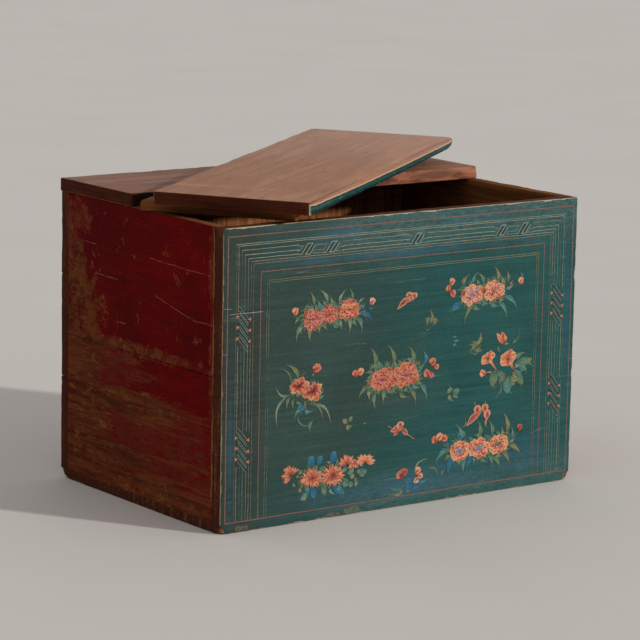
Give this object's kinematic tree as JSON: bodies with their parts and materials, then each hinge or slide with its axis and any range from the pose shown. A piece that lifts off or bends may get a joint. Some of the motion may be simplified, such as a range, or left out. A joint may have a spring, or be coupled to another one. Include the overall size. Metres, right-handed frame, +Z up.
{
  "type": "trunk",
  "caption": "Painted plank trunk with a flat top in two halves: a fixed rear board and a loose front lid that lies askew on the rim and lifts off.",
  "frame": {"origin": "on the floor, under the middle of the box", "axes": "+X left to right along the painted front, +Y from front to back, +Z up"},
  "size_m": [0.93, 0.787, 0.6844],
  "materials": {
    "teal_painted_wood": "worn paint",
    "red_painted_wood": "worn paint",
    "bare_wood": "raw",
    "top_wood": "worn, waxed",
    "batten_wood": "raw",
    "bamboo": "raw",
    "forged_iron": "forged"
  },
  "bodies": {
    "chest": {"front_board_top": "teal_painted_wood", "front_board_middle": "teal_painted_wood", "front_board_bottom": "teal_painted_wood", "back_board_top": "bare_wood", "back_board_middle": "bare_wood", "back_board_bottom": "bare_wood", "left_board_upper": "red_painted_wood", "left_board_lower": "red_painted_wood", "right_board_upper": "red_painted_wood", "right_board_lower": "red_painted_wood", "bottom_board_front": "bare_wood", "bottom_board_narrow": "bare_wood", "bottom_board_rear": "bare_wood", "rear_top_board": "top_wood", "front_edge_pins": "bamboo", "back_edge_pins": "bamboo", "left_edge_pins": "bamboo", "right_edge_pins": "bamboo", "front_corner_nails": "forged_iron", "back_corner_nails": "forged_iron", "bottom_nails": "forged_iron", "rear_top_nails": "forged_iron"},
    "lid": {"lid_board": "top_wood", "lid_batten_left": "batten_wood", "lid_batten_right": "batten_wood", "batten_nails": "forged_iron"}
  },
  "joints": [
    {"name": "lid_lift", "type": "slide", "parent": "chest", "child": "lid", "axis": [0, 0, 1], "range_m": [0, 0.45]}
  ]
}
